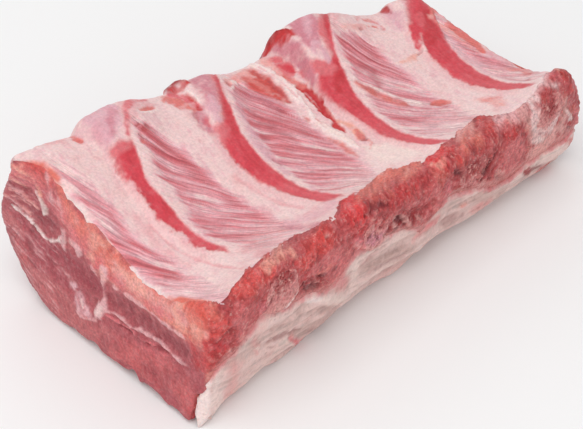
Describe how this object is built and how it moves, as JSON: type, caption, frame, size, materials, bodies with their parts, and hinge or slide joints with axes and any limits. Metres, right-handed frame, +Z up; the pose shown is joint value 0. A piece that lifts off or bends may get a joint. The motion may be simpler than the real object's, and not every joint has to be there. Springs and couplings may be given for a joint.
{
  "type": "raw rack of ribs",
  "caption": "Raw rack of pork ribs lying on its fat side, with curved rib bones running under a pale inner skin from the sawn edge to the high back rim.",
  "frame": {"origin": "centre of the bounding box's bottom face, on the surface the rack rests on", "axes": "+X along the rack, across the ribs, away from the near end; +Y from the sawn front side to the high back rim; +Z up, towards the inner side of the rib cage"},
  "size_m": [0.1578, 0.0866, 0.0503],
  "materials": {
    "muscle": "moist raw pork, pink to red, with pale membrane and sinew",
    "fat": "cold beige-white fat, slightly waxy, with lengthwise folds",
    "bone": "sawn bone with dark red, crumbly marrow"
  },
  "bodies": {
    "root": {"meat": "muscle", "fat_cap": "fat", "rib_bone_1": "bone", "rib_bone_2": "bone", "rib_bone_3": "bone", "rib_bone_4": "bone"}
  },
  "joints": []
}
